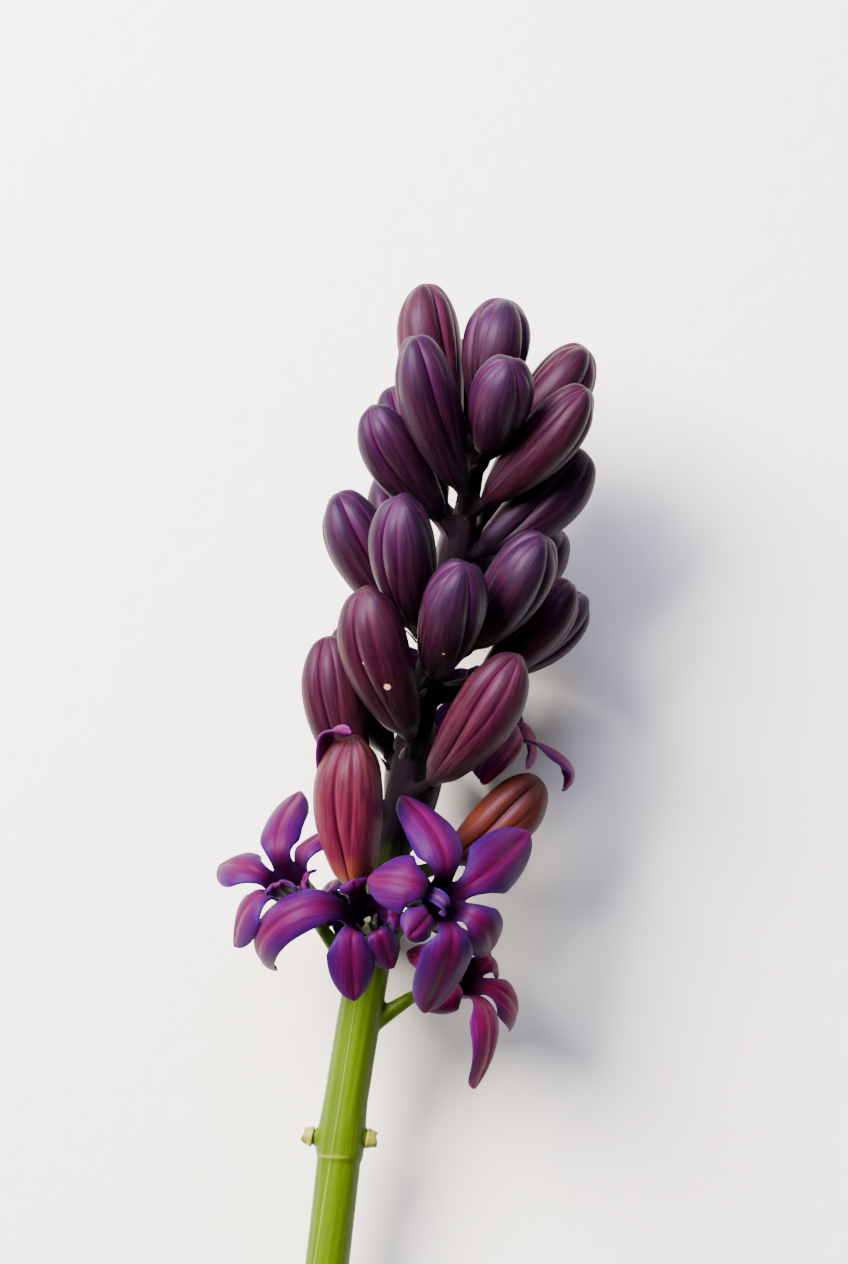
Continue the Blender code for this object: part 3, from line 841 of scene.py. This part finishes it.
def makeTube(shift):
    shares, radii = zip(*tube["profile"])

    def place(u, v):
        turn = math.pi * u - math.pi / 6
        z = -tube["footSink"] + (tube["length"] + tube["footSink"]) * max(0.0, (v - 0.12) / 0.88)
        share = max(z, 0.0) / tube["length"]
        smooth = float(np.interp(share, shares, radii))
        below, above = (float(np.interp(share + step, shares, radii)) for step in (-0.05, 0.05))
        soft = 0.5 * (below + above)
        radius = 0.5 * (smooth + soft) if share < 0.95 else smooth
        radius *= 1.0 + tube["rib"] * math.cos(6 * turn) * (1 - float(fade(0.75, 1.0, share)))
        if v < 0.12:
            radius = 0.95 * v / 0.12 * radii[0]
        nearest = (math.degrees(turn) + 30.0) % 60.0 - 30.0
        x, y = radius * math.cos(turn), radius * math.sin(turn)
        return Vector((x, y, z)), (nearest / 30.0, -1.0 + v, shift), (x + shift, z, y)

    return addGrid("tube", 6 * tube["columns"], tube["rings"], place)


def makePerianth(name, looks):
    look, roll, lobes = floretList[name]
    foot, direction = measureFloret(name)
    shift = random.uniform(0.0, 30.0)
    pieces = [makeTube(shift)] + [makeLobe(i, shape, shift) for i, shape in enumerate(lobes)]
    pick(*pieces)
    bpy.ops.object.join()
    made = bpy.context.object
    made.name = name.replace("_floret", "") + "OpenFlower"
    mergeAndTurnOut(made, 0.004)
    turnOutByTube(made)
    marks = np.empty(len(made.data.vertices) * 3)
    made.data.attributes["petalPlace"].data.foreach_get("vector", marks)
    marks = marks.reshape(-1, 3)
    thick = made.vertex_groups.new(name="thick")
    for i, (u, v, _) in enumerate(marks):
        flesh = 1.0 if v < 0 else 1.0 - 0.5 * abs(u) ** 3 - 0.35 * float(fade(0.6, 1.0, v))
        thick.add([i], max(flesh, 0.25), "REPLACE")
    wall = addWall(made, tube["wall"], -1.0)
    wall.vertex_group = "thick"
    wall.material_offset = 1
    wall.material_offset_rim = 1
    addSoft(made)
    made.data.materials.append(looks[look, "back"])
    made.data.materials.append(looks[look, "front"])
    applyAll(made)
    place = frameAt(foot, direction, roll)
    made.data.transform(place)
    smoothSkin(made, 75.0)
    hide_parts(name + "_perianth")
    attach(made, "root")
    return made


# the sheet is open, so its outside is told by the tube: there the normals point off the axis
def turnOutByTube(obj):
    total = 0.0
    for face in obj.data.polygons:
        if 0.002 < face.center.z < 0.007 and face.center.xy.length < 0.004:
            total += face.normal.xy.dot(face.center.xy)
    if total < 0:
        obj.data.flip_normals()


pistil = {
    "sides": 18,
    "lobing": 0.14,
    "stations": (  # height, radius
        (0.95, 0.8), (1.6, 1.3), (3.2, 1.55), (4.6, 1.1), (5.4, 0.45), (7.0, 0.4), (7.5, 0.6), (7.9, 0.35)),
}

stamen = {
    "radius": 1.75,  # mm from the flower's axis
    "height": 4.6,
    "lean": 3.0,
    "long": 2.5,
    "wide": 0.85,
}


def makePistilMaster():
    stations = pistil["stations"]
    deselectAll()
    bpy.ops.mesh.primitive_circle_add(vertices=pistil["sides"], radius=stations[0][1] * mm, fill_type="NGON")
    made = bpy.context.object
    bpy.ops.object.mode_set(mode="EDIT")
    bpy.ops.mesh.select_all(action="SELECT")
    bpy.ops.transform.translate(value=(0, 0, stations[0][0] * mm))
    for low, high in zip(stations, stations[1:]):
        bpy.ops.mesh.extrude_region_move(TRANSFORM_OT_translate={"value": (0, 0, (high[0] - low[0]) * mm)})
        grow = high[1] / low[1]
        bpy.ops.transform.resize(value=(grow, grow, 1.0), center_override=(0, 0, high[0] * mm))
    bpy.ops.mesh.inset(thickness=0.14 * mm)  # stigma's damp hollow
    bpy.ops.transform.translate(value=(0, 0, -0.1 * mm))
    bpy.ops.object.mode_set(mode="OBJECT")
    points = readPoints(made)
    turn = np.arctan2(points[:, 1], points[:, 0])
    swell = 1 + pistil["lobing"] * np.cos(3 * turn)
    points[:, :2] *= swell[:, None]
    writePoints(made, points)
    addSoft(made)
    applyAll(made)
    mergeAndTurnOut(made)
    smoothSkin(made, 60.0)
    return made


# one anther with its slit, on a short filament that runs out to the wall
def makeStamenMaster():
    deselectAll()
    bpy.ops.mesh.primitive_cube_add(size=1.0)
    made = bpy.context.object
    bpy.ops.object.mode_set(mode="EDIT")
    bpy.ops.mesh.select_all(action="SELECT")
    size = (stamen["wide"] * mm, 0.7 * stamen["wide"] * mm, stamen["long"] * mm)
    bpy.ops.transform.resize(value=size, center_override=(0, 0, 0))
    bpy.ops.mesh.subdivide(number_cuts=2)
    bpy.ops.mesh.select_all(action="DESELECT")
    bpy.ops.object.mode_set(mode="OBJECT")
    points = readPoints(made)
    slit = (points[:, 1] < -0.3 * size[1]) & (np.abs(points[:, 0]) > 0.1 * size[0])
    points[slit, 1] -= 0.18 * mm  # two pollen sacs stand proud of the slit
    ends = np.abs(points[:, 2]) > 0.45 * size[2]
    points[ends, :2] *= 0.55
    writePoints(made, points)
    foot = [f.index for f in made.data.polygons if f.center.y > 0.49 * size[1] and f.center.z < -0.3 * size[2]
            and abs(f.center.x) < 0.1 * size[0]]
    for index in foot:
        made.data.polygons[index].select = True
    bpy.ops.object.mode_set(mode="EDIT")
    for step in ((0, 0.35, -0.3), (0, 0.3, -0.7)):
        bpy.ops.mesh.extrude_region_move(TRANSFORM_OT_translate={"value": tuple(c * mm for c in step)})
    bpy.ops.object.mode_set(mode="OBJECT")
    addSoft(made, 2)
    applyAll(made)
    mergeAndTurnOut(made)
    smoothSkin(made, 60.0)
    return made


# the pistil and the ring of six stamens of one open flower
def makeHeart(name, pistilMaster, stamenMaster, pistilLook, antherLook):
    _, roll, _ = floretList[name]
    foot, direction = measureFloret(name)
    place = frameAt(foot, direction, roll)
    middle = ownCopy(pistilMaster, name.replace("_floret", "") + "Pistil")
    middle.data.transform(place)
    middle.data.materials.append(pistilLook)
    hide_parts(name + "_pistil")
    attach(middle, "root")
    ring = []
    for i in range(6):
        one = ownCopy(stamenMaster, "stamen")
        turn = Matrix.Rotation(math.radians(60.0 * i + random.uniform(-6, 6) - 90.0), 4, "Z")
        lean = Matrix.Rotation(math.radians(-stamen["lean"] + random.uniform(-4, 4)), 4, "X")
        shift = Matrix.Translation((0, stamen["radius"] * mm, (stamen["height"] - 0.5 * (i % 2)) * mm))
        one.data.transform(place @ turn @ shift @ lean)
        ring.append(one)
    pick(*ring)
    bpy.ops.object.join()
    stamens = bpy.context.object
    stamens.name = name.replace("_floret", "") + "Stamens"
    stamens.data.materials.append(antherLook)
    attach(stamens, "root")
    return middle, stamens


stubs = ((17.9, -92.0, 5.0), (19.1, 88.0, 6.9))  # height, turn from the front, reach, in mm and degrees


# what is left of a stalk that broke off: a short ragged collar
def makeTornStub(number, height, turn, reach):
    deselectAll()
    bpy.ops.mesh.primitive_circle_add(vertices=14, radius=1.75 * mm, fill_type="NOTHING")
    made = bpy.context.object
    made.name = "tornStub" + str(number)
    bpy.ops.object.mode_set(mode="EDIT")
    bpy.ops.mesh.select_all(action="SELECT")
    for rise, grow in ((0.5, 0.8), (0.6, 0.86), (0.45, 0.95), (-0.2, 0.72), (-0.35, 0.5)):
        bpy.ops.mesh.extrude_region_move(TRANSFORM_OT_translate={"value": (0, 0, rise * mm)})
        bpy.ops.transform.resize(value=(grow, grow, 1.0))
    bpy.ops.mesh.edge_face_add()
    bpy.ops.mesh.poke()
    bpy.ops.mesh.select_all(action="DESELECT")
    bpy.ops.mesh.select_non_manifold(extend=False)
    bpy.ops.mesh.edge_face_add()  # foot
    bpy.ops.mesh.select_all(action="SELECT")
    bpy.ops.mesh.normals_make_consistent(inside=False)
    bpy.ops.object.mode_set(mode="OBJECT")
    points = readPoints(made)
    around = np.arctan2(points[:, 1], points[:, 0])
    high = fade(0.7 * mm, 1.5 * mm, points[:, 2])
    ragged = np.array([random.uniform(-0.3, 0.42) for _ in points])
    points[:, 2] += high * (ragged + 0.25 * np.cos(3 * around + number)) * mm
    points[:, :2] *= 1.0 + 0.08 * np.cos(5 * around + 2 * number)[:, None]
    writePoints(made, points)
    addSoft(made, 2)
    applyAll(made)
    a = math.radians(turn)
    out = lieTurn @ Vector((math.sin(a), 0.0, math.cos(a)))
    start = fromPlant(stemAxis(height)) + out * ((reach - 2.3) * mm)
    made.data.transform(frameAt(start, out))
    smoothSkin(made, 60.0)
    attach(made, "root")
    return made


bract = {
    "long": 3.2,  # mm
    "wide": 1.3,
    "thick": 0.25,
}


# a small pointed scale, hollow towards the stalk it stands under
def makeBractMaster():
    deselectAll()
    bpy.ops.mesh.primitive_grid_add(x_subdivisions=6, y_subdivisions=8, size=1.0)
    made = bpy.context.object
    points = readPoints(made)
    t = points[:, 1] + 0.5
    half = 0.5 * bract["wide"] * np.sqrt(np.maximum(1.0 - t ** 1.6, 0.0025))
    u = points[:, 0] * 2
    points = np.stack([u * half, -0.25 * (u * u) * half + 0.9 * t * t, t * bract["long"]], axis=1) * mm
    writePoints(made, points)
    addWall(made, bract["thick"])
    addSoft(made)
    applyAll(made)
    smoothSkin(made, 60.0)
    return made


def makeBracts(master, names, look):
    scales = []
    for name in names:
        foot, tip, _ = measureBud(name)
        low = toPlant(foot)
        reach = (low - stemAxis(low.y)).xz.length
        root = stemAxis(min(low.y - 0.5 * reach, 117.0))
        out = Vector((low.x - root.x, 0.0, low.z)).normalized()
        radius = float(np.interp(root.y, [row[0] for row in stemLine], [row[2] for row in stemLine]))
        start = fromPlant(root + out * (radius - 0.3) - Vector((0, 1.2, 0)))
        z = lieTurn @ (out * 0.75 + Vector((0, 1.0, 0))).normalized()
        y = (lieTurn @ out - z * z.dot(lieTurn @ out)).normalized()
        place = Matrix((y.cross(z), y, z)).transposed().to_4x4()
        place.translation = start
        one = ownCopy(master, "bract")
        one.data.transform(place @ Matrix.Scale(random.uniform(0.75, 1.1), 4))
        scales.append(one)
    pick(*scales)
    bpy.ops.object.join()
    made = bpy.context.object
    made.name = "bracts"
    made.data.materials.append(look)
    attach(made, "root")
    return made


# narrow tepals that stand by themselves. Each middle line is in the flower's own frame, in mm:
# towards the plant's tip, to the left, and as a share of the bud's or the tube's length
looseTepals = {
    "looseTepal": {
        "node": "bud_01", "look": "magenta", "wide": 3.4, "wall": 0.4,
        "line": (
            (-0.9, 3.7, 0.7), (-1.3, 3.7, 0.86), (-1.9, 2.8, 1.02), (-2.1, 0.7, 1.07), (-2.1, -0.9, 1.05)),
    },
    "mouthCurl": {
        "node": "centre_floret", "look": "pale", "wide": 2.2, "wall": 0.4,
        "line": ((1.0, 2.4, 0.84), (0.7, 1.5, 1.04), (-0.2, 0.5, 1.12), (-1.2, 0.0, 1.08), (-1.6, 0.3, 0.98)),
    },
}


def makeLooseTepal(name, one, looks):
    if one["node"].startswith("bud"):
        foot, tip, _ = measureBud(one["node"])
        direction = tip - foot
        length = direction.length / mm
    else:
        foot, direction = measureFloret(one["node"])
        length = tube["length"]
    knots = [Vector((x, y, z * length)) for x, y, z in one["line"]]

    def along(v):
        s = v * (len(knots) - 1)
        i = min(int(s), len(knots) - 2)
        f = s - i
        before, after = knots[max(i - 1, 0)], knots[min(i + 2, len(knots) - 1)]
        a, b = knots[i], knots[i + 1]
        return 0.5 * (2 * a + (b - before) * f + (2 * before - 5 * a + 4 * b - after) * f * f
                      + (3 * a - before - 3 * b + after) * f ** 3)

    def place(u, v):
        here = along(v)
        forward = (along(min(v + 0.05, 1.0)) - along(max(v - 0.05, 0.0))).normalized()
        side = Vector((-1.0, 0.15, 0.0))
        side = (side - forward * side.dot(forward)).normalized()
        back = side.cross(forward)
        half = 0.5 * one["wide"] * math.sqrt(max(0.03, 1.0 - (2 * v - 0.75) ** 2 * 0.55 - 0.3 * v ** 6))
        point = here + side * (u * half) + back * (0.5 * (u * u - 0.4))
        return point, (u, 0.4 + 0.6 * v, 2.0), (u * half, 6 * v, 2.0)

    made = addGrid(name, 8, 14, place)
    addWall(made, one["wall"])
    addSoft(made)
    made.data.materials.append(looks[one["look"], "back"])
    applyAll(made)
    made.data.transform(frameAt(foot, direction))
    smoothSkin(made, 70.0)
    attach(made, "root")
    return made


makeStem()

budLooks = {}
for key, colours in budColours.items():
    nicks = [
        (nickPoint(name, share, turn), radius * mm)
        for name, share, turn, radius in budNicks if budList[name][0] == key
    ]
    budLooks[key] = waxyBudSkin(key + "BudSkin", colours, nicks)
budMaster = makeBudMaster()
for name in budList:
    makeBud(budMaster, name, budLooks)
bpy.data.objects.remove(budMaster)
print("closed flowers made,", len(budList))

petalLooks = {}
for key, colours in petalColours.items():
    for face in ("front", "back"):
        petalLooks[key, face] = softTepalSkin(key + "Tepal" + face.capitalize(), colours, face)
pistilMaster = makePistilMaster()
stamenMaster = makeStamenMaster()
# painted shade: pistil and anthers are dark olive and near black, for the shade deep in the tube
pistilLook = smallPartSkin("waxyShadedPistilSkin", "#20280E", "#464E2A", 900.0)
antherLook = smallPartSkin("dustyShadedAntherSkin", "#0E0814", "#2C2428", 2500.0, 0.8)
for name in floretList:
    makePerianth(name, petalLooks)
    makeHeart(name, pistilMaster, stamenMaster, pistilLook, antherLook)
bpy.data.objects.remove(pistilMaster)
bpy.data.objects.remove(stamenMaster)
print("open flowers made,", len(floretList))

stubLook = smallPartSkin("drySplitStalk", "#566410", "#8E8628", 700.0, 0.6)
for number, (height, turn, reach) in enumerate(stubs):
    makeTornStub(number, height, turn, reach).data.materials.append(stubLook)
bractLook = smallPartSkin("thinBractSkin", "#1A0818", "#44203A", 350.0)
bractMaster = makeBractMaster()
makeBracts(bractMaster, [name for name in budList if name != "bud_22"], bractLook)
bpy.data.objects.remove(bractMaster)
for name, one in looseTepals.items():
    makeLooseTepal(name, one, petalLooks)
print("stubs, bracts and the loose tepals made")

studio = {
    "floorSize": 6.0,  # m
    "keyPlace": (-420.0, 330.0, 420.0),  # mm in the plant's frame
    "keySize": 0.36,
    "keyPower": 34.0,
    "fillPlace": (380.0, 60.0, 520.0),
    "fillSize": 0.7,
    "fillPower": 0.7,
    "panelPlace": (-150.0, 560.0, 420.0),
    "panelSize": 0.45,
    "panelPower": 7.0,
    "skyColour": "#E6E2E0",
    "skyStrength": 0.09,
}

view = {
    "middle": (-1.04, 91.05),  # mm in the plant's frame, what the camera looks at
    "distance": 520.0,
    "turn": 10.1,  # degrees, for a stem that leans
    "lens": 104.6,
}


def addArea(name, place, aim, size, power, colour):
    light = bpy.data.lights.new(name, "AREA")
    light.size = size
    light.energy = power
    light.color = linear(colour)[:3]
    made = bpy.data.objects.new(name, light)
    bpy.context.scene.collection.objects.link(made)
    made.location = fromPlant(place)
    made.rotation_euler = (fromPlant(aim) - made.location).to_track_quat("-Z", "Y").to_euler()
    return made


bpy.ops.object.select_all(action="DESELECT")
bpy.ops.mesh.primitive_grid_add(x_subdivisions=8, y_subdivisions=8, size=studio["floorSize"])
floor = bpy.context.object
floor.name = "floor"
floor.data.materials.append(paintedFloor())

head = (0.0, 92.0, 0.0)
addArea("keyLight", studio["keyPlace"], head, studio["keySize"], studio["keyPower"], "#FFF3E2")
addArea("fillLight", studio["fillPlace"], head, studio["fillSize"], studio["fillPower"], "#F0ECEC")
addArea("coolPanel", studio["panelPlace"], head, studio["panelSize"], studio["panelPower"], "#CCCCF6")
world = bpy.data.worlds.new("paleRoom")
bpy.context.scene.world = world
world.use_nodes = True
sky = world.node_tree.nodes["Background"]
sky.inputs["Color"].default_value = linear(studio["skyColour"])
sky.inputs["Strength"].default_value = studio["skyStrength"]

camera = bpy.data.objects.new("camera", bpy.data.cameras.new("camera"))
bpy.context.scene.collection.objects.link(camera)
camera.data.lens = view["lens"]
camera.data.sensor_width = 36.0
camera.location = fromPlant((view["middle"][0], view["middle"][1], view["distance"]))
camera.rotation_euler = (lieTurn @ Matrix.Rotation(math.radians(view["turn"]), 3, "Z")).to_euler()
bpy.context.scene.camera = camera
print("floor, lights and camera set")

bpy.context.view_layer.update()
